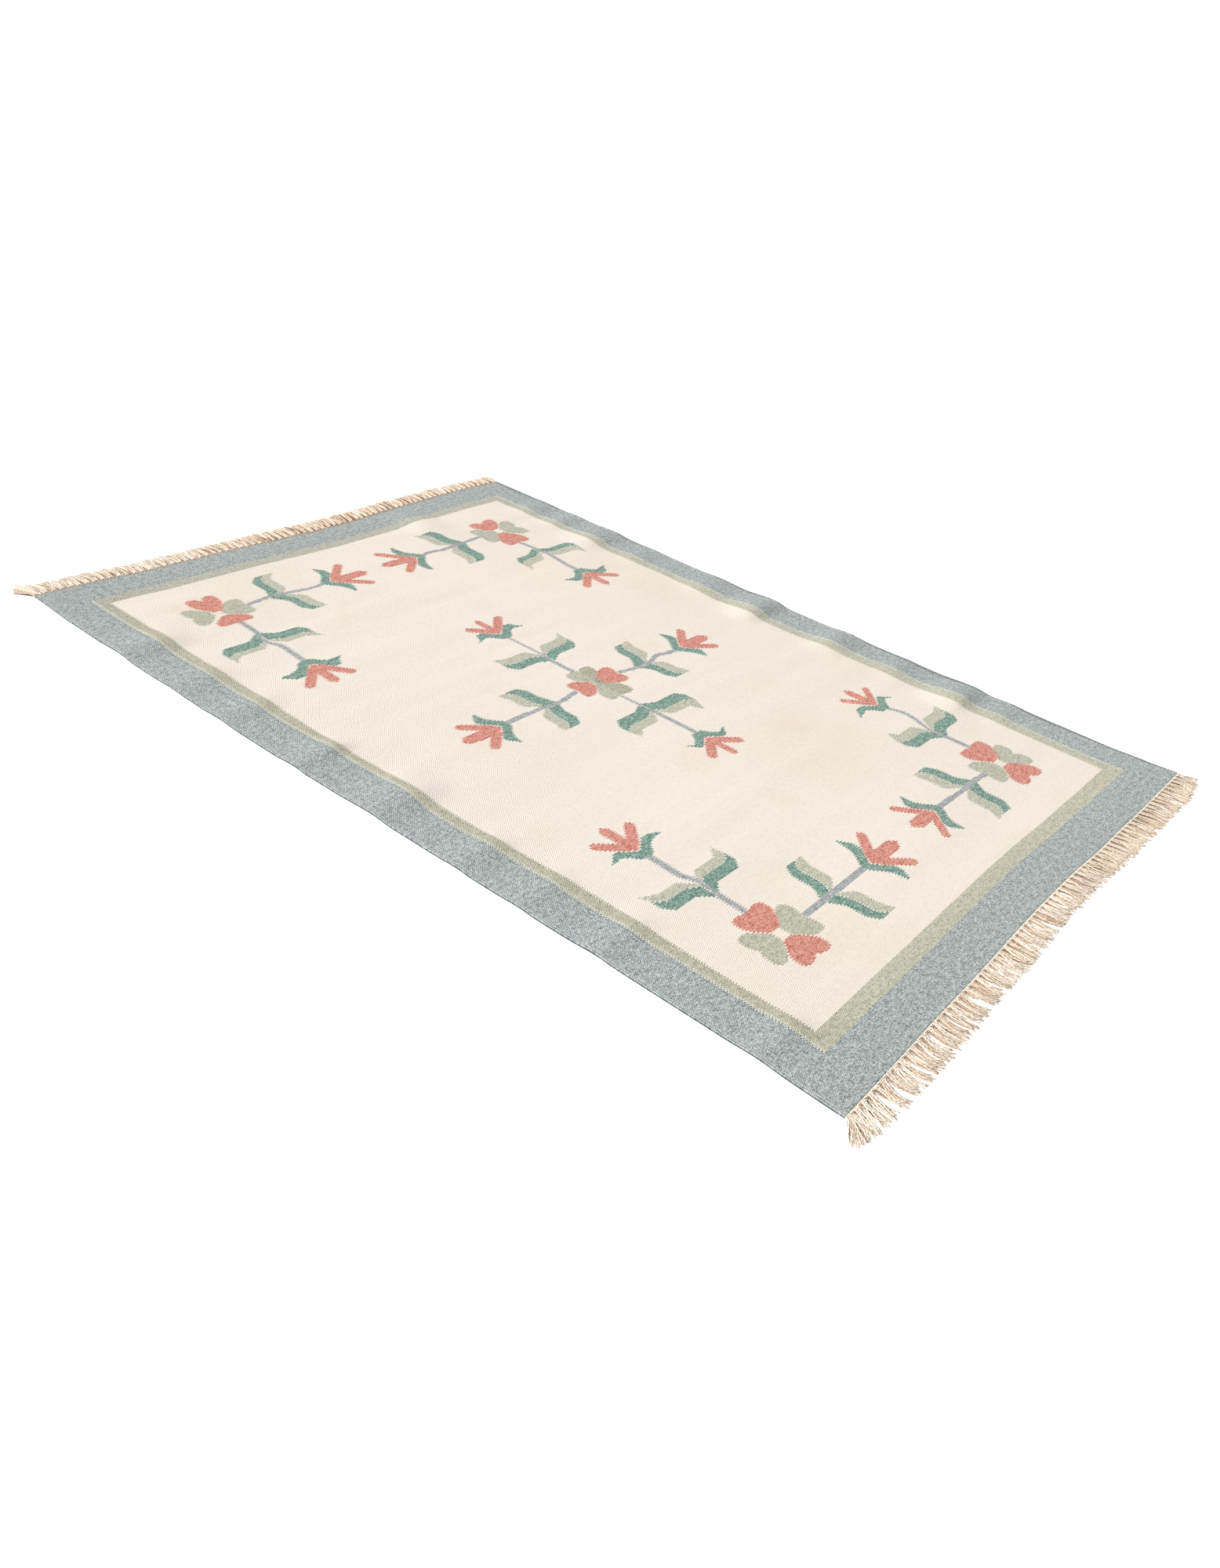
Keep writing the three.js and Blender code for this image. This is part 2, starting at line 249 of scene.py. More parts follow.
# Leaves. X and Y are the ways that a spray grows. Points are (along, across): a foot's lie from
# the edge that it is named after and from the stem, outer ones from that edge and from the leaf's
# reach, and these move by shares of the excess where the tip curls further than usual.
LEAF_CURL = 14
LEAF_CORNER = {"X": 15, "Y": 19}
LEAF_CUT = {"X": 24, "Y": 16}
LEAF_CUT_BEND = (0.4, 0.55)
LEAF_ROOT_HALF = 2
DIVIDE_FOOT = ((-14, 0), (-12, 7), (-2, 25), (0, 36))
DIVIDE_OUTER = ((0, -24, 0, -1), (6, -11, 0, -0.5), (18, -1, 0.5, 0))
NEAR_FOOT = ((0, 36), (-5, 26))
FAR_FOOT = ((0, 32), (-5, 22))
PALE_HEEL = ((0, 8), (-6, 0))
FAR_SHOULDER = (5, -15)
FAR_OUTER = -27
HOOK_NOSE = 4

# Stems: how far they pass the leaves, where they turn before the cup and end in it, and where
# their pinch starts and is full after the leaves' root
STEM_PASS = 8
STEM_TO_CUP = (-30, 4)
STEM_PINCH_AT = (2, 20)
STEM_PINCH = 0.62
STEM_STEPS = 4

# Cups: points of a side from the base, from its tip, and at its corner, which lies from the top
# and from its tip. Three cups are deeper than the others.
CUP_TOP = {"X": 51, "Y": 44}
CUP_DEEPER = {("far_left", "-Y"): 12, ("far_right", "-Y"): 5, ("middle", "+Y"): 6}
CUP_BASE_HALF = {"X": 9, "Y": 15}
CUP_FLARE = ((18, 29), (27, 43))
CUP_TIP = ((-1, 0), (2, 0), (9, -10))
CUP_CORNER = (-1, -22)
CUP_TOP_HALF = 34
CUP_NOTCH = 21
CUP_NOTCH_HALF = 2

# Petals: they start from points that lie from the notch and from the axis
PETAL_WIDTH = 23
NARROW_PETAL_WIDTH = {"near_right": 19}
PETAL_TAPER = 2
PETAL_START = (17, 6)
PETAL_OVERRUN = 4
PETAL_FOOT = 34
MIDDLE_PETAL_START = 12
MIDDLE_PETAL_WIDTH = {"X": 30, "Y": 24}
THIN_STEM = 10
THIN_PETAL_WIDTH = 18
BLUNT = 0.35
BLUNT_NOSE = 0.6

# A heart's outline on one side of its axis: shares of its length outwards and of its half width
HEART_SIDE = (
    (0.0, 0.0), (0.0, 0.28), (0.1, 0.44), (0.3, 0.72), (0.5, 0.93), (0.64, 1.0),
    (0.84, 1.0), (0.94, 0.93), (1.0, 0.78), (1.0, 0.42), (0.97, 0.24),
)

# Fringe: locks of plied yarn, an upper layer over a shaded lower one
LOCK_COUNT = 75
UPPER_YARNS = 5
LOWER_YARNS = 6
YARN_RADIUS = 1.15
YARN_LOBE = 0.28
YARN_RINGS = 20
YARN_SIDES = 6
LOWER_SIDES = 4
YARN_TWIST_PITCH = 15.0
LOWER_LEVEL = 1.6
UPPER_LEVEL = 3.4
ROOT_LEVEL = 3.9
HUMP = 1.8
YARN_SHADE = 0.16
ROOT_OFFSET = 1.0
TIP_TAPER = 0.5
KNOT_HALF = 4.8
KNOT_REACH = 6.1
KNOT_OFFSET = 4.4
KNOT_SLANT = 1.2
KNOT_LEVEL = 3.0
KNOT_RISE = 1.6
KNOT_RADIUS = 1.0
KNOT_STEPS = 12
KNOT_SIDES = 6
LEAN_SCATTER = 1.8
BOW_SCATTER = 1.2
FAN_SCATTER = 0.7
LEAN_POWER = 1.4
SWAY_ONSET = 3
LEVEL_DROP = 1.1
ROOT_DROP = 4
SWAY = (0.5, 1.9)
SWAY_CYCLES = (0.6, 1.5)
STRAY = 2.2
SHORTFALL = (-9.0, 3.5)
# Hollows: painted shade between the knots, drawn as short dark tubes
HOLLOW_RADIUS = 0.9
HOLLOW_HALF = (2.0, 3.6)
HOLLOW_OFFSET = 4.8
HOLLOW_LEVEL = 3.2
HOLLOW_SIDES = 5
HOLLOW_STEPS = 5
HOLLOW_TAPER = 0.6
HOLLOW_END_TONE = 0.15
CORD_RADIUS = 1.5
CORD_SIDES = 5
CORD_TONE = 0.9
CORD_TURN = 0.8
CORD_PITCH = 10.0
CORD_LEVEL = 2.7
CORD_OFFSET = 1.4
CORD_STEP = 2.5
WRAP_SHADE = 0.1

# lean: how far the tips lie to +X of the roots. bow: how far a lock bends between. fan: its half
# width at the tips. root: half width of its lower layer at the knots. darkening: how much darker
# its wool is drawn.
Locks = namedtuple("Locks", "along lean reach bow fan root age")
NEAR_LOCKS = [Locks(*row) for row in (
    (-700, -30, 42, -2, 9, 8, 0.02), (-665, -12, 47, -3, 9, 8, 0.02),
    (-600, -2, 51, -5, 8, 8, 0.02), (-450, 1, 55, -5, 8, 8, 0.02),
    (-300, 4, 50, -4, 8, 8, 0.02), (-200, 0, 53, -3, 9, 8, 0.02),
    (0, 6, 50, -3, 10, 7.5, -0.04), (150, 12, 51, 0, 10, 8.5, 0),
    (300, 8, 53, 2, 10, 8.5, 0.03), (480, 12, 53, 3, 10, 8.5, 0.08),
    (600, 6, 55, 3, 10, 8.5, 0.09), (700, 15, 42, 3, 10, 8.5, 0.12),
)]
FAR_LOCKS = [Locks(*row) for row in (
    (-700, -17, 64, 0, 10, 9.5, -0.05), (-650, -6, 58, 0, 10, 9.5, -0.04),
    (-500, 0, 57, 2, 10, 9.5, 0), (-250, -2, 58, 3, 10, 9.5, 0.04),
    (0, 4, 64, 3, 10, 9, 0.2), (200, 12, 62, 2, 10, 9, 0.24),
    (400, 7, 57, 3, 10, 9, 0.13), (700, 10, 50, 2, 10, 9, 0.2),
)]
DARKENING_SCATTER = 0.04
UPPER_TONES = (0.6, 0.92)
UPPER_TIP = 0.06
LOWER_TONES = (0.2, 0.46)
LOWER_TIP = 0.36
BROWN_SHARE = 0.18
BROWN_DROP = 0.32
KNOT_TONES = (0.64, 0.9)
HOLLOW_TONES = (0.0, 0.2)

# The outermost left locks fan out round the cloth's corner, from their first yarn to their last,
# and one in every few of their yarns is darker, or lies in the lower layer
CornerLock = namedtuple("CornerLock", "along yarns first_lean first_reach last_lean last_reach")
NEAR_CORNER = CornerLock(-694, 44, -44, 33, 12, 46)
FAR_CORNER = CornerLock(-694, 30, -31, 40, -4, 76)
CORNER_DARK_EVERY = 4
CORNER_DARK = 0.16
CORNER_LOWER_EVERY = 3

# Places along the ends where neighbouring locks part and the floor shows
NEAR_PARTINGS = (-627, -591, -556, -462, -405, -334, -207, -128, -45)
FAR_PARTINGS = (-130,)
PARTING_PULL = 5.5
PARTING_REACH = 20.0

# Camera, fitted to the four corners of the cloth
PHOTO_W = 1556
PHOTO_H = 2000
FOCAL_PX = 1626.05
SENSOR_MM = 36.0
CAMERA_PLACE = (-1.9587, -1.3973, 1.2505)
CAMERA_HEADING = 55.375
CAMERA_DIP = 31.753
CAMERA_ROLL = 8.970


# Small helpers

def ease(t):
    """Goes smoothly from 0 to 1 as t does."""
    t = np.clip(t, 0, 1)
    return t * t * (3 - 2 * t)


def smooth_table(rows, along):
    """Reads a table of (place, value) rows at places along it, smoothly between rows."""
    along = np.asarray(along, float)
    places = np.array([r[0] for r in rows], float)
    values = np.array([r[1] for r in rows], float)
    i = np.clip(np.searchsorted(places, along) - 1, 0, len(rows) - 2)
    t = (along - places[i]) / (places[i + 1] - places[i])
    return values[i] + (values[i + 1] - values[i]) * ease(t)


def place(x, y):
    """Moves points of the straight rectangle to where the uneven cloth has them."""
    side = np.where(x > 0, smooth_table(RIGHT_EDGE, y), smooth_table(LEFT_EDGE, y))
    end = np.where(y > 0, smooth_table(FAR_END, x), smooth_table(NEAR_END, x))
    side_share = (np.abs(x) / HALF_W) ** EDGE_FADE
    end_share = (np.abs(y) / HALF_L) ** EDGE_FADE
    return x + np.sign(x) * side * side_share, y + np.sign(y) * end * end_share


def lift(x, y):
    """Height of the cloth's underside above the floor."""
    height = np.zeros_like(x)
    insets = {"right": HALF_W - x, "left": HALF_W + x, "far": HALF_L - y}
    for r in RIPPLES:
        inset = insets[r.edge]
        from_crest = (x if r.edge == "far" else y) - r.along
        offset = from_crest / np.where(from_crest < 0, r.low, r.high)
        length_share = np.where(np.abs(offset) < 1, 0.5 + 0.5 * np.cos(np.pi * offset), 0)
        rise = r.edge_share + (1 - r.edge_share) * ease(inset / r.peak_inset)
        fall = 1 - ease((inset - r.peak_inset) / (r.reach - r.peak_inset))
        height = np.maximum(height, r.crest * length_share * np.minimum(rise, fall))
    return height


# Drawing the pattern

WAYS = {"+X": (1, 0), "-X": (-1, 0), "+Y": (0, 1), "-Y": (0, -1)}


def mapper(motif, way, axis):
    """Turns (outwards, across) into the rug's x and y."""
    cx, cy = CENTRES[motif]
    dx, dy = WAYS[way]
    if dx:
        return lambda s, t: (cx + dx * s, cy + axis + t)
    return lambda s, t: (cx + axis + t, cy + dy * s)


def curve_through(points):
    """A smooth open line through a few points."""
    n = len(points)
    out = []
    for i in range(n - 1):
        p = [np.array(points[min(max(i + k, 0), n - 1)], float) for k in (-1, 0, 1, 2)]
        for j in range(STEM_STEPS):
            t = j / STEM_STEPS
            out.append(tuple(0.5 * (
                2 * p[1] + (p[2] - p[0]) * t
                + (2 * p[0] - 5 * p[1] + 4 * p[2] - p[3]) * t * t
                + (3 * p[1] - p[0] - 3 * p[2] + p[3]) * t ** 3
            )))
    out.append(tuple(points[-1]))
    return out


def bar(a, b, width_a, width_b, point=0.0):
    """A straight bar from a to b, with a far end that is blunt, or pointed over some length."""
    a, b = np.array(a, float), np.array(b, float)
    along = (b - a) / np.linalg.norm(b - a)
    side = np.array((-along[1], along[0]))
    tail = b - along * point if point else b - along * width_b * BLUNT
    nose = side * width_b * (0.0 if point else 0.5 - BLUNT * BLUNT_NOSE)
    right = [a - side * width_a / 2, tail - side * width_b / 2, b - nose]
    left = [b + nose, tail + side * width_b / 2, a + side * width_a / 2]
    return [tuple(p) for p in right + left]


def heart_shapes(h):
    """A heart, and its high half again where that is of another colour."""
    to_rug = mapper(h.motif, h.way, h.axis)
    length = h.lobes - h.tip
    high = [(h.tip + s * length, w * h.width / 2) for s, w in HEART_SIDE]
    high.append((h.lobes - h.notch, 0))
    low = [(s, -w) for s, w in reversed(high[1:-1])]
    wools = MIDDLE_WOOLS if h.motif == "middle" else CORNER_WOOLS
    low_wool, high_wool = wools[h.way[1]]
    shapes = [(low_wool, [to_rug(s, t) for s, t in high + low])]
    if high_wool != low_wool:
        shapes.append((high_wool, [to_rug(s, t) for s, t in high]))
    return shapes


def leaf_shapes(spray, hand, span, hook):
    """The dark and the pale half of one leaf, on the low or the high side of its stem."""
    shift = -hand * spray.slant / 2
    root = spray.leaf[0]
    near, divide, far = (edge + shift for edge in spray.leaf[1:])
    direction = spray.way[1]
    reach, tip = abs(span), abs(hook[1])
    curl = max(LEAF_CURL, hook[0] - far) if direction == "X" else LEAF_CURL
    excess = curl - LEAF_CURL
    corner, cut = LEAF_CORNER[direction] + excess, LEAF_CUT[direction]
    boundary = [(divide + s, t) for s, t in DIVIDE_FOOT]
    boundary += [
        (divide + s + a * excess, reach + t + b * excess) for s, t, a, b in DIVIDE_OUTER]
    dark_edge = [
        (near + corner, reach),
        (near + corner * LEAF_CUT_BEND[0], reach - cut * LEAF_CUT_BEND[1]), (near, reach - cut),
        *((near + s, t) for s, t in NEAR_FOOT), (root, LEAF_ROOT_HALF), (root, 0),
    ]
    pale_edge = [
        ((boundary[-1][0] + hook[0]) / 2, (reach + tip) / 2), (hook[0], tip),
        (hook[0] - HOOK_NOSE, tip - HOOK_NOSE),
        (far + FAR_SHOULDER[0], min(reach, tip) + FAR_SHOULDER[1] - excess / 2),
        (far, reach + FAR_OUTER - excess / 2), *((far + s, t) for s, t in FAR_FOOT),
        *((divide + s, t) for s, t in PALE_HEEL),
    ]
    return [[(s, hand * t) for s, t in boundary + edge] for edge in (dark_edge, pale_edge)]


def cup_shape(spray):
    """The dark cup under a flower: a base on the stem and a curled tip on each side."""
    direction = spray.way[1]
    base = spray.base
    top = base + CUP_TOP[direction] + CUP_DEEPER.get((spray.motif, spray.way), 0)
    halves = []
    for hand, tip in ((1, spray.tip_high), (-1, spray.tip_low)):
        s, t = tip[0], abs(tip[1])
        side = [(base, CUP_BASE_HALF[direction]), *((base + v, u) for v, u in CUP_FLARE)]
        side.append(((side[-1][0] + s) / 2, (side[-1][1] + t) / 2))
        side += [(s + v, t + u) for v, u in CUP_TIP]
        side += [
            (top + CUP_CORNER[0], t + CUP_CORNER[1]), (top, CUP_TOP_HALF),
            (base + CUP_NOTCH, CUP_NOTCH_HALF),
        ]
        halves.append([(v, hand * u) for v, u in side])
    return halves[0] + halves[1][::-1]


def flower_shapes(spray):
    """Three coral petals that spring from the notch of the cup."""
    notch = spray.base + CUP_NOTCH
    thin = min(spray.stem) < THIN_STEM
    width = NARROW_PETAL_WIDTH.get(spray.motif, PETAL_WIDTH)
    middle_width = THIN_PETAL_WIDTH if thin else MIDDLE_PETAL_WIDTH[spray.way[1]]
    foot = notch + PETAL_FOOT
    shapes = [[(notch, 0), (foot, PETAL_FOOT), (foot, -PETAL_FOOT)]]
    for end in (spray.petal_low, spray.petal_high):
        hand = math.copysign(1, end[1])
        start = (notch + PETAL_START[0], hand * PETAL_START[1])
        stretch = 1 + PETAL_OVERRUN / math.dist(start, end)
        tip = tuple(a + (b - a) * stretch for a, b in zip(start, end))
        shapes.append(bar(start, tip, width, width - PETAL_TAPER))
    start = (notch + MIDDLE_PETAL_START, 0)
    shapes.append(bar(start, spray.petal, middle_width, middle_width, middle_width / 2))
    return shapes


def stem_shape(spray):
    """The stem, which strays a little and is pinched where it passes the leaves."""
    root, _, divide, far = spray.leaf
    turn, end = (spray.base + s for s in STEM_TO_CUP)
    places = (spray.start, root, divide - STEM_PASS, far + STEM_PASS, turn, end)
    line = curve_through(list(zip(places, spray.sway)))
    pinch = STEM_PINCH if spray.way[1] == "Y" and spray.motif != "middle" else 1.0
    near, away = spray.stem
    pinch_start, pinched = (root + s for s in STEM_PINCH_AT)
    stations = (spray.start, pinch_start, pinched, divide - STEM_PASS, far, spray.base)
    widths = (near, near, near * pinch, away * pinch, away, away)
    high, low = [], []
    for s, t in line:
        half = float(np.interp(s, stations, widths)) / 2
        high.append((s, t + half))
        low.append((s, t - half))
    return high + low[::-1]


def spray_shapes(spray):
    """All the coloured areas of one spray, in painting order."""
    to_rug = mapper(spray.motif, spray.way, spray.axis)
    shapes = []
    for hand, span, hook in (
        (-1, spray.leaf_low, spray.hook_low), (1, spray.leaf_high, spray.hook_high),
    ):
        dark, pale = leaf_shapes(spray, hand, span, hook)
        shapes += [("pale_leaf", pale), ("dark_green", dark)]
    shapes.append(("stem", stem_shape(spray)))
    shapes.append(("dark_green", cup_shape(spray)))
    shapes += [("coral", petal) for petal in flower_shapes(spray)]
    return [(zone, [to_rug(s, t) for s, t in shape]) for zone, shape in shapes]


def border_shapes():
    """The sage band and the cream field inside it, over the blue ground."""
    ys = np.linspace(-1, 1, SAGE_STEPS)

    def ring(left, right, near, far):
        rows = [near if y < 0 else far for y in ys] * np.abs(ys) * np.sign(ys)
        right_side = [(float(smooth_table(right, y)), float(y)) for y in rows]
        left_side = [(-float(smooth_table(left, y)), float(y)) for y in rows[::-1]]
        return right_side + left_side

    def wider(table, extra):
        return [(at, half + extra) for at, half in table]

    outer = SAGE_OUTER_NEAR, SAGE_OUTER_FAR
    inner = SAGE_INNER_NEAR, SAGE_INNER_FAR
    return [
        ("join_lit", ring(SAGE_OUTER_LEFT, wider(SAGE_OUTER_RIGHT, JOIN_LIT), *outer)),
        ("join_shaded", ring(wider(SAGE_OUTER_LEFT, JOIN_SHADED), SAGE_OUTER_RIGHT, *outer)),
        ("sage_lit", ring(SAGE_OUTER_LEFT, SAGE_OUTER_RIGHT, *outer)),
        ("sage", ring(wider(SAGE_OUTER_LEFT, -MARGIN_LIT), SAGE_OUTER_RIGHT, *outer)),
        ("sage_shaded", ring(wider(SAGE_INNER_LEFT, MARGIN_SHADED), SAGE_INNER_RIGHT, *inner)),
        ("cream", ring(SAGE_INNER_LEFT, SAGE_INNER_RIGHT, *inner)),
    ]


def pattern_shapes():
    """Every coloured area of the rug as (zone, outline), in painting order."""
    shapes = border_shapes()
    for spray in SPRAYS:
        shapes += spray_shapes(spray)
    for heart in HEARTS:
        shapes += heart_shapes(heart)
    shapes += [(zone, list(outline)) for zone, outline in MIDDLE_JOINS]
    return shapes


# Weaving: the pattern row by row

def crossings(outline, y):
    """Where a closed outline crosses the line at y, from low x to high."""
    found = []
    for (x0, y0), (x1, y1) in zip(outline, outline[1:] + outline[:1]):
        if (y0 <= y) != (y1 <= y):
            found.append(x0 + (x1 - x0) * (y - y0) / (y1 - y0))
    return sorted(found)


def woven_rows(shapes):
    """For each row of weft, its runs of one colour as (start x, zone), from low x to high."""
    spans = [[] for _ in range(ROW_COUNT)]
    for zone, outline in shapes:
        ys = [p[1] for p in outline]
        first = max(0, math.ceil((min(ys) + HALF_L) / ROW - 0.5))
        last = min(ROW_COUNT - 1, math.floor((max(ys) + HALF_L) / ROW - 0.5))
        for row in range(first, last + 1):
            cross = crossings(outline, -HALF_L + (row + 0.5) * ROW)
            tooth = TOOTH if row % 2 else -TOOTH
            for a, b in zip(cross[::2], cross[1::2]):
                a, b = a - tooth, b + tooth
                if b - a >= SHORTEST_RUN:
                    a, b = (round(v / BREAK_STEP) * BREAK_STEP for v in (a, b))
                    spans[row].append((a, b, zone))
    rows = []
    for row in spans:
        breaks = sorted({-HALF_W, *(s[0] for s in row), *(s[1] for s in row)})
        breaks = [b for i, b in enumerate(breaks) if i == 0 or b - breaks[i - 1] > BREAK_STEP / 2]
        runs = []
        for i, start in enumerate(breaks):
            stop = breaks[i + 1] if i + 1 < len(breaks) else HALF_W
            inside = [s[2] for s in row if s[0] <= (start + stop) / 2 <= s[1]]
            zone = inside[-1] if inside else "blue"
            if not runs or runs[-1][1] != zone:
                runs.append((start, zone))
        rows.append(runs)
    return rows


def zone_at(runs, x):
    """The colour of one row of weft at x."""
    zone = runs[0][1]
    for start, name in runs:
        if start > x:
            break
        zone = name
    return zone


def cloth_zone(runs, x, y):
    """The colour at a place of the cloth: painted shade and highlight at the selvedges, or else
    its row's.
    """
    # Painted shade on the outermost rim of both selvedges
    if HALF_W - abs(x) < RIM_SHADE_INSET["right" if x > 0 else "left"]:
        return "selvedge_rim_shade"
    # Painted shade where the right rim curls down, away from the light
    if HALF_W - x < CURL_SHADE_LIMIT and HALF_W - x < smooth_table(RIGHT_CURL_SHADE, y):
        return "selvedge_curl_shade"
    # Painted highlight on the ridge of the left selvedge
    if RIDGE_HIGHLIGHT[0] < HALF_W + x < RIDGE_HIGHLIGHT[1]:
        return "selvedge_ridge_highlight"
    return zone_at(runs, x)


# The cloth's mesh

def add_object(name, data):
    """Puts a mesh, a light or a camera into the scene."""
    made = bpy.data.objects.new(name, data)
    bpy.context.scene.collection.objects.link(made)
    return made


def add_mesh(name, points, faces, materials):
    """A smooth object of points in metres and of faces, which take the first material."""
    mesh = bpy.data.meshes.new(name)
    mesh.from_pydata(points, [], faces)
    for material in materials:
        mesh.materials.append(material)
    mesh.polygons.foreach_set("use_smooth", [True] * len(mesh.polygons))
    return add_object(name, mesh)


def flat_net(rows):
    """Points and edges of the flat pattern: every colour change, the rim and a grid between."""
    index, points, edges = {}, [], set()

    def point(x, y):
        key = (round(x * 1000), round(y * 1000))
        if key not in index:
            index[key] = len(points)
            points.append((x, y))
        return index[key]

    def join(places):
        line = [point(x, y) for x, y in places]
        for a, b in zip(line, line[1:]):
            if a != b:
                edges.add((min(a, b), max(a, b)))

    for row, runs in enumerate(rows):
        low, high = -HALF_L + row * ROW, -HALF_L + (row + 1) * ROW
        for start, _ in runs[1:]:
            join(((start, low), (start, high)))
    for row in range(1, len(rows)):
        y = -HALF_L + row * ROW
        below, above = rows[row - 1], rows[row]
        if below == above:
            continue
        breaks = sorted({r[0] for r in below} | {r[0] for r in above})
        for a, b in zip(breaks, breaks[1:]):
            if zone_at(below, (a + b) / 2) != zone_at(above, (a + b) / 2):
                pieces = math.ceil((b - a) / GRID)
                join((a + (b - a) * k / pieces, y) for k in range(pieces + 1))

    taken = {(int(x // GRID_CLEARANCE), int(y // GRID_CLEARANCE)) for x, y in points}

    def free(x, y):
        cx, cy = int(x // GRID_CLEARANCE), int(y // GRID_CLEARANCE)
        return not any((cx + i, cy + j) in taken for i in (-1, 0, 1) for j in (-1, 0, 1))

    side_count = round(LENGTH / SIDE_STEP)
    for x in (-HALF_W, HALF_W):
        inward = -math.copysign(1, x)
        join((x, -HALF_L + LENGTH * k / side_count) for k in range(side_count + 1))
        for k in range(1, side_count):
            y = -HALF_L + LENGTH * k / side_count
            if HALF_L - abs(y) > EDGE_INSETS[-1]:
                for inset in EDGE_INSETS:
                    point(x + inward * inset, y)
        for inset in EDGE_INSETS:
            for end_inset in EDGE_INSETS:
                for end in (-1, 1):
                    point(x + inward * inset, end * (HALF_L - end_inset))
    end_count = round(WIDTH / GRID)
    for y in (-HALF_L, HALF_L):
        inward = -math.copysign(1, y)
        join((-HALF_W + WIDTH * k / end_count, y) for k in range(end_count + 1))
        for k in range(1, end_count):
            for inset in EDGE_INSETS:
                point(-HALF_W + WIDTH * k / end_count, y + inward * inset)
    for i in range(1, round(WIDTH / GRID)):
        for j in range(1, round(LENGTH / GRID)):
            x, y = -HALF_W + i * GRID, -HALF_L + j * GRID
            near_rim = HALF_W - abs(x) < EDGE_INSETS[-1] or HALF_L - abs(y) < EDGE_INSETS[-1]
            if free(x, y) and not near_rim:
                point(x, y)
    return points, sorted(edges)


def section(x, y):
    """Underside and top of the cloth's own thickness, rounded at the rims."""
    side, end = HALF_W - np.abs(x), HALF_L - np.abs(y)
    bulge = SELVEDGE_EXTRA * (0.5 + 0.5 * np.cos(np.pi * np.clip(side / SELVEDGE_WIDTH, 0, 1)))

    def corner(inset):
        depth = np.clip(1 - inset / EDGE_RADIUS, 0, 1)
        return EDGE_RADIUS * (1 - np.sqrt(1 - depth ** 2))

    under = np.maximum(corner(side), corner(end))
    top = THICKNESS + bulge - np.maximum(corner(side) * (1 + bulge / EDGE_RADIUS), corner(end))
    return under, top


def drape(x, y):
    """Slow unevenness, in millimetres above the cloth's flat lie: two waves that wander."""
    slow = np.sin(x / 97 + 1.3 * np.sin(y / 171)) * np.sin(y / 123 + 0.8 + 0.9 * np.sin(x / 210))
    fine = np.sin((x + 0.6 * y) / 41 + 2) * np.sin((y - 0.4 * x) / 57 + 1)
    return DRAPE_SLOW * (1 + slow) + DRAPE_FINE * (1 + fine)


def make_cloth(materials):
    """One closed sheet: the pattern on its top, the same on its underside, round rims between."""
    rows = woven_rows(pattern_shapes())
    points, edges = flat_net(rows)
    result = geometry.delaunay_2d_cdt(
        [Vector(p) for p in points], edges, [], 0, NET_TOLERANCE, False)
    flat = np.array([tuple(p) for p in result[0]])
    triangles = np.array([tuple(f) for f in result[2]])
    x, y = flat[:, 0], flat[:, 1]
    real_x, real_y = place(x, y)
    inset = np.minimum(HALF_W - np.abs(x), HALF_L - np.abs(y))
    raised = lift(x, y) + drape(x, y) * ease(inset / DRAPE_INSET)
    under, top = section(x, y)
    rim = inset < RIM_TOLERANCE
    top = np.where(rim, (top + under) / 2, top)
    count = len(flat)
    upper = np.stack([real_x, real_y, top + raised], 1) * MM
    lower_of = np.arange(count)
    inner = np.flatnonzero(~rim)
    lower_of[inner] = count + np.arange(len(inner))
    lower = np.stack([real_x, real_y, under + raised], 1)[inner] * MM
    vertices = np.vstack([upper, lower])
    faces = np.vstack([triangles, lower_of[triangles][:, ::-1]])

    rug = add_mesh("woven_rug", vertices.tolist(), faces.tolist(), materials.values())
    mesh = rug.data
    names = list(materials)
    middle = flat[triangles].mean(1)
    row_of = np.clip(((middle[:, 1] + HALF_L) // ROW).astype(int), 0, ROW_COUNT - 1)
    zones = [names.index(cloth_zone(rows[r], cx, cy)) for r, (cx, cy) in zip(row_of, middle)]
    mesh.polygons.foreach_set("material_index", zones + zones)
    uv = mesh.uv_layers.new(name="flat")
    all_flat = np.vstack([flat, flat[inner]])
    loops = np.array([loop.vertex_index for loop in mesh.loops])
    spread = np.stack([all_flat[:, 0] / WIDTH + 0.5, all_flat[:, 1] / LENGTH + 0.5], 1)
    uv.data.foreach_set("uv", spread[loops].ravel())
    mesh.update()
    return rug


# The fringe's mesh

def tube(path, radius, sides, lobe=0.0, twist=None, start_angle=0.0, upright=(0, 0, 1)):
    """Rings of a yarn along a path. With a lobe and a twist it is two plies laid together."""
    path = np.asarray(path, float)
    step = np.gradient(path, axis=0)
    step /= np.linalg.norm(step, axis=1)[:, None]
    across = np.cross(step, upright)
    across /= np.linalg.norm(across, axis=1)[:, None]
    up = np.cross(across, step)
    run = np.concatenate([[0], np.cumsum(np.linalg.norm(np.diff(path, axis=0), axis=1))])
    turn = 2 * np.pi * run / twist + start_angle if twist else np.full(len(run), start_angle)
    around = 2 * np.pi * np.arange(sides) / sides
    reach = radius * (1 + lobe * np.cos(2 * around))[None, :] * np.ones((len(run), 1))
    angle = around[None, :] + turn[:, None]
    spread = across[:, None] * (reach * np.cos(angle))[..., None]
    height = up[:, None] * (reach * np.sin(angle))[..., None]
    return path[:, None] + spread + height


def taper(rings, path, shares):
    """Draws each ring in towards its centre to a share of its size."""
    centre = np.asarray(path)[:, None]
    return centre + (rings - centre) * shares[:, None, None]


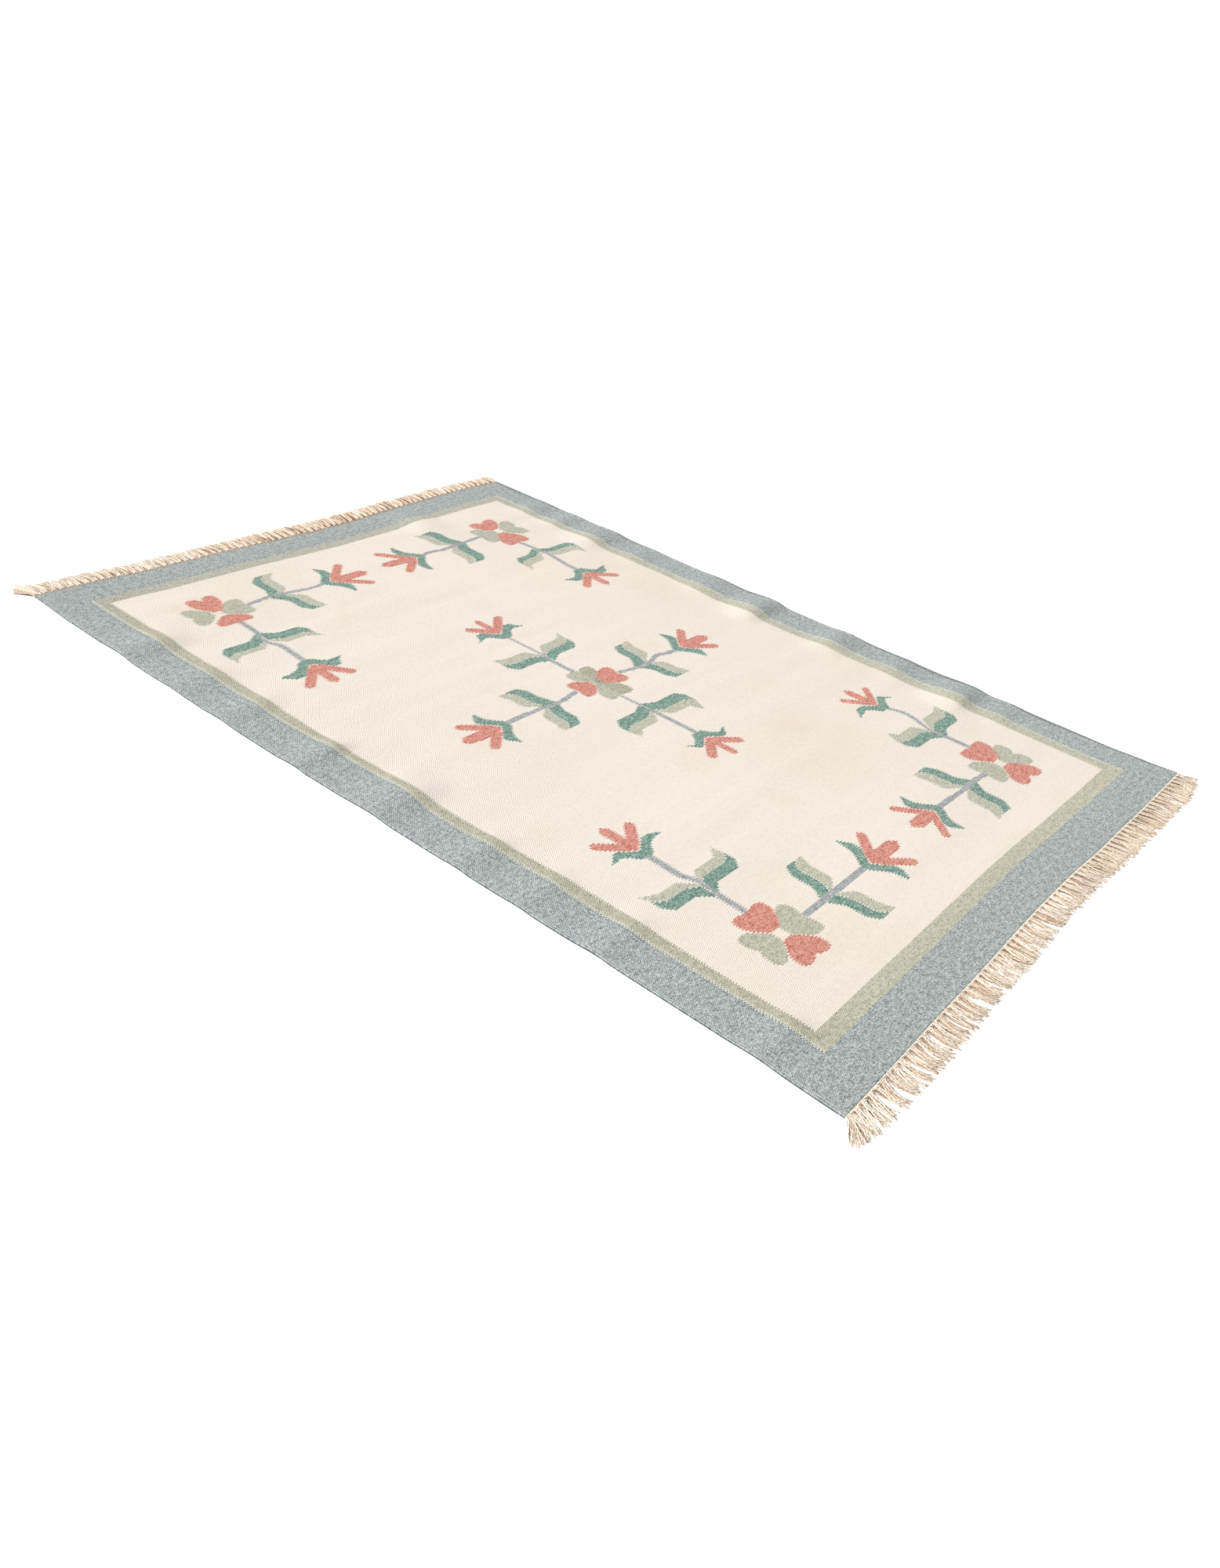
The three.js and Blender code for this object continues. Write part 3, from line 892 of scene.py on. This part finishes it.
class Strands:
    """Gathers tubes into one mesh, with a tone for each point: 0 deep shade, 1 the palest wool."""

    def __init__(self):
        self.points, self.faces, self.tones = [], [], []

    def add(self, rings, tones, undershade=0.0):
        n, sides = rings.shape[:2]
        base = len(self.points)
        height = rings[..., 2] - rings[..., 2].mean(1, keepdims=True)
        height /= np.abs(height).max()
        self.points += rings.reshape(-1, 3).tolist()
        self.tones += (np.reshape(tones, (-1, 1)) + undershade * height).ravel().tolist()
        for i in range(n - 1):
            for k in range(sides):
                a, b = base + i * sides + k, base + i * sides + (k + 1) % sides
                self.faces.append((a, a + sides, b + sides, b))
        self.faces.append(tuple(base + k for k in range(sides)))
        self.faces.append(tuple(base + (n - 1) * sides + k for k in reversed(range(sides))))

    def build(self, name, material):
        points = (np.array(self.points) * MM).tolist()
        piece = add_mesh(name, points, self.faces, [material])
        attribute = piece.data.attributes.new("tone", "FLOAT", "POINT")
        attribute.data.foreach_set("value", self.tones)
        piece.data.update()
        return piece


def end_of_cloth(x, side):
    """The real place of the cloth's end."""
    real_x, real_y = place(np.array([x], float), np.array([side * HALF_L]))
    return float(real_x[0]), float(real_y[0])


def add_header(strands, side):
    """A two-ply cord twined along the end, which the knots sit against."""
    count = round(WIDTH / CORD_STEP)
    line = [end_of_cloth(-HALF_W + WIDTH * k / count, side) for k in range(count + 1)]
    for ply in (0, 1):
        path = []
        for k, (x, y) in enumerate(line):
            turn = 2 * math.pi * k * CORD_STEP / CORD_PITCH + ply * math.pi
            path.append((
                x, y + side * (CORD_OFFSET + CORD_TURN * math.cos(turn)),
                CORD_LEVEL + CORD_TURN * math.sin(turn),
            ))
        rings = tube(path, CORD_RADIUS, CORD_SIDES)
        strands.add(rings, np.full(count + 1, CORD_TONE), WRAP_SHADE)


def add_knot(strands, x, y, side, tone):
    """A turn of yarn drawn tight round a lock."""
    path = []
    for k in range(KNOT_STEPS + 1):
        a = 2 * math.pi * k / KNOT_STEPS
        path.append((
            x + KNOT_REACH * math.cos(a),
            y + side * (KNOT_OFFSET + KNOT_SLANT * math.cos(a)),
            KNOT_LEVEL + KNOT_RISE * math.sin(a),
        ))
    rings = tube(path, KNOT_RADIUS, KNOT_SIDES, upright=(0, 1, 0))
    strands.add(rings, np.full(KNOT_STEPS + 1, tone), WRAP_SHADE)


def add_hollow_shade(strands, x0, side):
    """Painted shade between two knots: a short dark tube along the edge, where the deep shade
    lies.
    """
    x, y = end_of_cloth(x0, side)
    half = draw.uniform(*HOLLOW_HALF)
    steps = np.linspace(-1, 1, HOLLOW_STEPS)
    path = [(x + half * t, y + side * HOLLOW_OFFSET, HOLLOW_LEVEL) for t in steps]
    rings = taper(tube(path, HOLLOW_RADIUS, HOLLOW_SIDES), path, 1 - HOLLOW_TAPER * steps ** 2)
    strands.add(rings, draw.uniform(*HOLLOW_TONES) + HOLLOW_END_TONE * steps ** 2)


def add_yarn(strands, x0, side, start, end, reach, bow, upper, darkening):
    """One yarn, from its knot out over the floor."""
    x, y = end_of_cloth(x0, side)
    long = reach + draw.uniform(*SHORTFALL)
    sway = draw.uniform(*SWAY)
    phase = draw.uniform(0, 2 * math.pi)
    cycles = draw.uniform(*SWAY_CYCLES)
    hump = draw.uniform(0, HUMP) if upper else 0.0
    t = np.linspace(0, 1, YARN_RINGS)
    wave = sway * np.sin(2 * math.pi * cycles * t + phase) * np.minimum(1, SWAY_ONSET * t)
    across = x + start + (end - start) * t ** LEAN_POWER + bow * np.sin(math.pi * t) + wave
    level = LOWER_LEVEL
    if upper:
        level = UPPER_LEVEL + (LOWER_LEVEL - UPPER_LEVEL) * ease(LEVEL_DROP * t)
    level = ROOT_LEVEL + (level - ROOT_LEVEL) * ease(ROOT_DROP * t) + hump * np.sin(math.pi * t)
    path = np.stack([across, y + side * (ROOT_OFFSET + long * t), level], 1)
    turn = draw.uniform(0, 2 * math.pi)
    sides = YARN_SIDES if upper else LOWER_SIDES
    rings = tube(path, YARN_RADIUS, sides, YARN_LOBE, YARN_TWIST_PITCH, turn)
    rings = taper(rings, path, np.where(t < 1, 1, TIP_TAPER))
    if upper:
        tones = draw.uniform(*UPPER_TONES) + UPPER_TIP * t
        if draw.random() < BROWN_SHARE:
            tones -= BROWN_DROP
    else:
        tones = draw.uniform(*LOWER_TONES) + LOWER_TIP * t ** 2
    strands.add(rings, tones - darkening, YARN_SHADE)


def add_lock(strands, x0, side, lean, reach, bow, fan, root, darkening):
    """One lock: yarns that leave their knot close together and fan out on the floor."""
    x, y = end_of_cloth(x0, side)
    add_knot(strands, x, y, side, draw.uniform(*KNOT_TONES) - darkening)
    half = fan + draw.gauss(0, FAN_SCATTER)
    layers = ((LOWER_YARNS, root, False), (UPPER_YARNS, KNOT_HALF, True))
    for count, root_half, upper in layers:
        for n in range(count):
            u = 2 * (n + 0.5) / count - 1
            end = u * half + lean + draw.gauss(0, STRAY)
            add_yarn(strands, x0, side, u * root_half, end, reach, bow, upper, darkening)


def add_corner_lock(strands, lock, side):
    """The outermost lock, whose yarns are spread like a fan round the cloth's corner."""
    x, y = end_of_cloth(lock.along, side)
    add_knot(strands, x, y, side, draw.uniform(*KNOT_TONES))
    for n in range(lock.yarns):
        u = n / (lock.yarns - 1)
        lean = lock.first_lean + (lock.last_lean - lock.first_lean) * u
        reach = lock.first_reach + (lock.last_reach - lock.first_reach) * math.sin(math.pi * u / 2)
        start = KNOT_HALF * (2 * u - 1)
        darkening = 0 if n % CORNER_DARK_EVERY else CORNER_DARK
        upper = n % CORNER_LOWER_EVERY > 0
        add_yarn(strands, lock.along, side, start, lean, reach, 0, upper, darkening)


def make_fringe(name, side, locks, corner, partings, material):
    """The fringe of one end: its header, its corner lock and then its locks from -X to +X."""
    strands = Strands()
    add_header(strands, side)
    add_corner_lock(strands, corner, side)
    tables = [[(r.along, r[k]) for r in locks] for k in range(1, len(Locks._fields))]
    pitch = WIDTH / LOCK_COUNT
    for i in range(LOCK_COUNT):
        x = -HALF_W + (i + 0.5) * pitch
        pull = sum(
            math.copysign(PARTING_PULL, x - p) * math.exp(-abs(x - p) / PARTING_REACH)
            for p in partings
        )
        lean, reach, bow, fan, root, darkening = (float(smooth_table(table, x)) for table in tables)
        lean += pull + draw.gauss(0, LEAN_SCATTER)
        darkening += draw.gauss(0, DARKENING_SCATTER)
        if i:
            bow += draw.gauss(0, BOW_SCATTER)
            add_lock(strands, x, side, lean, reach, bow, fan, root, darkening)
            add_hollow_shade(strands, x - pitch / 2, side)
    return strands.build(name, material)


# Materials

class Nodes:
    """Short forms for building the nodes of a material or of the world."""

    def __init__(self, owner):
        owner.use_nodes = True
        self.owner = owner
        self.tree = owner.node_tree
        self.shader = self.tree.nodes.get("Principled BSDF")

    def new(self, kind, **settings):
        node = self.tree.nodes.new(kind)
        for key, value in settings.items():
            setattr(node, key, value)
        return node

    def link(self, a, b):
        self.tree.links.new(a, b)

    @staticmethod
    def set(node, values):
        for key, value in values.items():
            node.inputs[key].default_value = value

    def put(self, socket, value):
        if isinstance(value, (int, float, tuple)):
            socket.default_value = value
        else:
            self.link(value, socket)

    def math(self, operation, a, b=0.0, c=0.0):
        node = self.new("ShaderNodeMath", operation=operation)
        for socket, value in zip(node.inputs, (a, b, c)):
            self.put(socket, value)
        return node.outputs[0]

    def mix(self, factor, a, b, blend="MIX"):
        node = self.new("ShaderNodeMix", data_type="RGBA", blend_type=blend)
        self.put(node.inputs[0], factor)
        self.put(node.inputs[6], a)
        self.put(node.inputs[7], b)
        return node.outputs[2]

    def noise(self, vector, scale, detail=2.0, roughness=0.5):
        node = self.new("ShaderNodeTexNoise")
        self.set(node, {"Scale": scale, "Detail": detail, "Roughness": roughness})
        self.link(vector, node.inputs["Vector"])
        return node.outputs["Fac"]

    def scaled(self, vector, scale, location=(0.0, 0.0, 0.0)):
        node = self.new("ShaderNodeMapping")
        self.set(node, {"Scale": scale, "Location": location})
        self.link(vector, node.inputs["Vector"])
        return node.outputs[0]

    def ramp(self, value, stops):
        node = self.new("ShaderNodeValToRGB")
        elements = node.color_ramp.elements
        while len(elements) < len(stops):
            elements.new(0.5)
        for element, (at, colour) in zip(elements, stops):
            element.position = at
            element.color = colour
        self.link(value, node.inputs[0])
        return node.outputs[0]

    def parts(self, vector):
        node = self.new("ShaderNodeSeparateXYZ")
        self.link(vector, node.inputs[0])
        return node.outputs

    def spread(self, value, start, end=(0.0, 1.0)):
        node = self.new("ShaderNodeMapRange")
        self.set(node, {
            "From Min": start[0], "From Max": start[1], "To Min": end[0], "To Max": end[1]})
        self.link(value, node.inputs["Value"])
        return node.outputs[0]

    def multiply(self, a, b):
        return self.mix(1.0, a, b, "MULTIPLY")

    def bump(self, height, strength, distance):
        node = self.new("ShaderNodeBump")
        self.set(node, {"Strength": strength, "Distance": distance})
        self.link(height, node.inputs["Height"])
        self.link(node.outputs[0], self.shader.inputs["Normal"])


def srgb(r, g, b):
    """An sRGB colour of 0 to 255 as linear RGBA."""
    parts = [v / 255 for v in (r, g, b)]
    return tuple(
        v / 12.92 if v <= 0.04045 else ((v + 0.055) / 1.055) ** 2.4 for v in parts
    ) + (1.0,)


def grey(value):
    return (value, value, value, 1.0)


# Weave bumps, and flecks and clumps of heathered fibres that are stretched along the weft
WARP_PITCH = 4.4 * MM
WEAVE_DEPTH = 0.55 * MM
WEAVE_DRIFT = 13.0 * MM
DRIFT_SCALE = 25.0
BUMP_STRENGTH = 0.4
FLECK = 2.7 * MM
FLECK_STRETCH = 0.6
FLECK_CRISPNESS = 0.7
FLECK_HEIGHT = 2.4
CLUMP = 8.0 * MM
CLUMP_SHARE = 0.24
CLUMP_SHIFT = (5.0, 9.0, 0.0)
FIBRE_SPREAD = 0.165
BAND_SCALE = (1.5, 16.0, 0.0)
BAND_SHADES = ((0.3, grey(0.95)), (0.7, grey(1.0)))
YARN_FIBRE_SCALE = 900.0
YARN_FIBRE_SHARE = 0.3
YARN_DEPTH = 0.3 * MM
WOOL_ROUGHNESS = 0.95
WOOL_SHEEN = 0.06
WOOL_SPECULAR = 0.15

# Each wool's dark, main and light fibres, and how strongly its flecks stand out
Wool = namedtuple("Wool", "dark main light contrast")
WOOLS = {
    "blue": Wool((112, 123, 125), (170, 176, 174), (213, 217, 214), 1.2),
    "sage": Wool((148, 146, 120), (196, 194, 174), (222, 219, 203), 1.0),
    "cream": Wool((226, 213, 196), (243, 233, 221), (250, 243, 234), 0.6),
    "coral": Wool((176, 88, 80), (216, 147, 130), (236, 180, 164), 1.3),
    "dark_green": Wool((78, 114, 104), (128, 156, 144), (174, 196, 184), 1.4),
    "pale_leaf": Wool((156, 154, 134), (197, 195, 176), (222, 218, 202), 1.2),
    "sage_heart": Wool((148, 149, 128), (191, 190, 171), (216, 215, 198), 1.2),
    "sage_dark": Wool((136, 132, 108), (179, 176, 154), (206, 203, 182), 1.0),
    "sage_lit": Wool((186, 182, 160), (217, 214, 198), (236, 234, 220), 1.0),
    "sage_shaded": Wool((126, 122, 98), (166, 162, 140), (204, 200, 178), 1.0),
    "stem": Wool((120, 124, 130), (169, 172, 173), (208, 210, 208), 1.1),
    "join_lit": Wool((196, 200, 192), (218, 219, 208), (234, 234, 224), 1.0),
    "join_shaded": Wool((82, 98, 106), (122, 138, 144), (166, 178, 180), 1.0),
    # Painted light at the selvedges: shade on the outermost rim, shade where the right rim curls
    # down, and a highlight on the left selvedge's ridge
    "selvedge_rim_shade": Wool((62, 62, 64), (92, 95, 97), (124, 129, 130), 1.0),
    "selvedge_curl_shade": Wool((88, 94, 96), (134, 139, 140), (170, 176, 176), 1.0),
    "selvedge_ridge_highlight": Wool((150, 162, 164), (194, 202, 202), (222, 228, 226), 1.0),
}

# Slow changes of shade across a wool: it is clear at one place along its axis and has taken the
# whole tint at the other, in metres
Tint = namedtuple("Tint", "wool axis clear full tint")
TINTS = (
    Tint("cream", "X", 0.0, 0.55, (0.968, 0.965, 0.96, 1.0)),
    Tint("sage", "X", -0.45, -0.58, (0.925, 0.91, 0.9, 1.0)),
    Tint("sage", "X", 0.45, 0.58, (0.98, 0.98, 0.985, 1.0)),
    Tint("sage", "Y", 0.7, 0.88, (0.93, 0.93, 0.97, 1.0)),
    Tint("blue", "Y", 0.7, 0.95, (0.96, 0.97, 0.97, 1.0)),
)


# Marks in the cream, each where a noise passes from clear to full: yellow and pink stains, neps
Mark = namedtuple("Mark", "shift scale detail clear full tint")
CREAM_MARKS = (
    Mark((3.1, 1.7, 0.0), 2.6, 3.0, 0.5, 0.72, (0.985, 0.966, 0.93, 1.0)),
    Mark((7.3, 4.1, 0.0), 7.0, 3.0, 0.58, 0.76, (0.99, 0.955, 0.925, 1.0)),
    Mark((0.0, 0.0, 0.0), 330.0, 1.0, 0.74, 0.8, grey(0.6)),
)


def weave_height(n, where):
    """Plain weave: each weft passes over every other warp, and the next row over the others."""
    x, y, _ = n.parts(where)
    drift = n.math("MULTIPLY", n.noise(where, DRIFT_SCALE, 1.0), WEAVE_DRIFT)
    warp = n.math("ADD", x, drift)
    across = n.math("COSINE", n.math("MULTIPLY", warp, 2 * math.pi / WARP_PITCH))
    along = n.math("COSINE", n.math("MULTIPLY", y, math.pi / (ROW * MM)))
    return n.math("MULTIPLY", across, along)


def wool_material(name, wool):
    """Flat-woven wool: heathered flecks and clumps along the weft, slow bands, weave bumps."""
    n = Nodes(bpy.data.materials.new("wool_" + name))
    where = n.new("ShaderNodeTexCoord").outputs["Object"]
    fleck, clump = ((FLECK_STRETCH / size, 1 / size, 0.0) for size in (FLECK, CLUMP))
    flecks = n.noise(n.scaled(where, fleck), 1.0, 2.0, FLECK_CRISPNESS)
    clumps = n.noise(n.scaled(where, clump, CLUMP_SHIFT), 1.0, 1.0)
    fine = n.math("MULTIPLY", flecks, 1 - CLUMP_SHARE)
    heather = n.math("MULTIPLY_ADD", clumps, CLUMP_SHARE, fine)
    spread = FIBRE_SPREAD / wool.contrast
    colour = n.ramp(heather, (
        (0.5 - spread, srgb(*wool.dark)), (0.5, srgb(*wool.main)),
        (0.5 + spread, srgb(*wool.light)),
    ))
    bands = n.noise(n.scaled(where, BAND_SCALE), 1.0, 2.0)
    colour = n.multiply(colour, n.ramp(bands, BAND_SHADES))
    for t in (t for t in TINTS if t.wool == name):
        share = n.spread(n.parts(where)[t.axis], (t.clear, t.full))
        colour = n.multiply(colour, n.mix(share, grey(1.0), t.tint))
    if name == "cream":
        colour = age_cream(n, where, colour)
    n.link(colour, n.shader.inputs["Base Color"])
    height = n.math("ADD", weave_height(n, where), n.math("MULTIPLY", flecks, FLECK_HEIGHT))
    n.bump(height, BUMP_STRENGTH, WEAVE_DEPTH)
    n.set(n.shader, {
        "Roughness": WOOL_ROUGHNESS, "Sheen Weight": WOOL_SHEEN,
        "Specular IOR Level": WOOL_SPECULAR,
    })
    return n.owner


def age_cream(n, where, colour):
    """Faint yellow and pink stains, and the small dark neps of undyed wool."""
    for mark in CREAM_MARKS:
        cloud = n.noise(n.scaled(where, (1.0, 1.0, 0.0), mark.shift), mark.scale, mark.detail)
        shades = (mark.clear, grey(1.0)), (mark.full, mark.tint)
        colour = n.multiply(colour, n.ramp(cloud, shades))
    return colour


def yarn_material():
    """Undyed warp yarn: cream, and by its tone painted shade: tan on the lower yarns, brown in the
    hollows.
    """
    n = Nodes(bpy.data.materials.new("warp_yarn"))
    tone = n.new("ShaderNodeAttribute", attribute_name="tone").outputs["Fac"]
    where = n.new("ShaderNodeTexCoord").outputs["Object"]
    fibre = n.noise(where, YARN_FIBRE_SCALE, 2.0)
    varied = n.math("MULTIPLY_ADD", fibre, YARN_FIBRE_SHARE, -YARN_FIBRE_SHARE / 2)
    shade = n.math("ADD", tone, varied)
    colour = n.ramp(shade, (
        (0.0, srgb(112, 86, 66)), (0.2, srgb(172, 136, 108)), (0.42, srgb(219, 193, 166)),
        (0.66, srgb(241, 223, 201)), (1.0, srgb(252, 242, 229)),
    ))
    n.link(colour, n.shader.inputs["Base Color"])
    n.bump(fibre, BUMP_STRENGTH, YARN_DEPTH)
    n.set(n.shader, {"Roughness": WOOL_ROUGHNESS, "Specular IOR Level": WOOL_SPECULAR})
    return n.owner


# Stage, light and camera

FLOOR_SIZE = 60.0
FLOOR_SHADE = 0.97
FLOOR_ROUGHNESS = 0.9
FLOOR_GLOW = 0.38
WALL_BRIGHTNESS = 1.05
CEILING_BRIGHTNESS = 0.32
WALL_TOP = 0.08
KEY_STRENGTH = 4.5
KEY_SPREAD = 26.0
KEY_FROM = (-0.62, 0.72, 0.58)


def make_floor():
    """A pale floor that glows a little, as the photo's ground is pure white."""
    half = FLOOR_SIZE / 2
    corners = [(-half, -half, 0), (half, -half, 0), (half, half, 0), (-half, half, 0)]
    n = Nodes(bpy.data.materials.new("pale_floor"))
    n.set(n.shader, {
        "Base Color": grey(FLOOR_SHADE), "Roughness": FLOOR_ROUGHNESS, "Specular IOR Level": 0.0,
        "Emission Color": grey(1.0), "Emission Strength": FLOOR_GLOW,
    })
    floor = add_mesh("studio_floor", corners, [(0, 1, 2, 3)], [n.owner])


def make_light():
    """A bright wall all round under a dim ceiling, and one soft light from behind the rug."""
    n = Nodes(bpy.data.worlds.new("studio"))
    background = n.tree.nodes["Background"]
    n.set(background, {"Color": grey(1.0)})
    height = n.parts(n.new("ShaderNodeTexCoord").outputs["Generated"])["Z"]
    fade = n.spread(
        height, (WALL_TOP, 2 * WALL_TOP), (WALL_BRIGHTNESS, CEILING_BRIGHTNESS))
    n.link(fade, background.inputs["Strength"])
    bpy.context.scene.world = n.owner
    data = bpy.data.lights.new("softbox", "SUN")
    data.energy = KEY_STRENGTH
    data.angle = math.radians(KEY_SPREAD)
    light = add_object("softbox", data)
    light.rotation_mode = "QUATERNION"
    light.rotation_quaternion = (-Vector(KEY_FROM)).to_track_quat("-Z", "Y")


def make_camera():
    """The camera at the photo's place, heading, dip and roll."""
    heading, dip, roll = (math.radians(a) for a in (CAMERA_HEADING, CAMERA_DIP, CAMERA_ROLL))
    forward = Vector((
        math.sin(heading) * math.cos(dip), math.cos(heading) * math.cos(dip), -math.sin(dip),
    ))
    level = forward.cross(Vector((0, 0, 1))).normalized()
    upright = level.cross(forward)
    right = level * math.cos(roll) + upright * math.sin(roll)
    up = upright * math.cos(roll) - level * math.sin(roll)
    data = bpy.data.cameras.new("camera")
    data.sensor_width = SENSOR_MM
    data.lens = SENSOR_MM * FOCAL_PX / max(PHOTO_W, PHOTO_H)
    camera = add_object("camera", data)
    axes = Matrix((right, up, -forward)).transposed().to_4x4()
    camera.matrix_world = Matrix.Translation(CAMERA_PLACE) @ axes
    bpy.context.scene.camera = camera


bpy.context.scene.view_settings.view_transform = "Standard"
make_camera()
make_light()
make_floor()

rug = make_cloth({name: wool_material(name, wool) for name, wool in WOOLS.items()})
yarn = yarn_material()
near_fringe = make_fringe(
    "near_fringe_yarns", -1, NEAR_LOCKS, NEAR_CORNER, NEAR_PARTINGS, yarn)
far_fringe = make_fringe("far_fringe_yarns", 1, FAR_LOCKS, FAR_CORNER, FAR_PARTINGS, yarn)

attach(rug, "root")
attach(near_fringe, "root")
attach(far_fringe, "root")
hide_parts("woven_cloth")
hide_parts("fringe_near")
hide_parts("fringe_far")

bpy.context.view_layer.update()
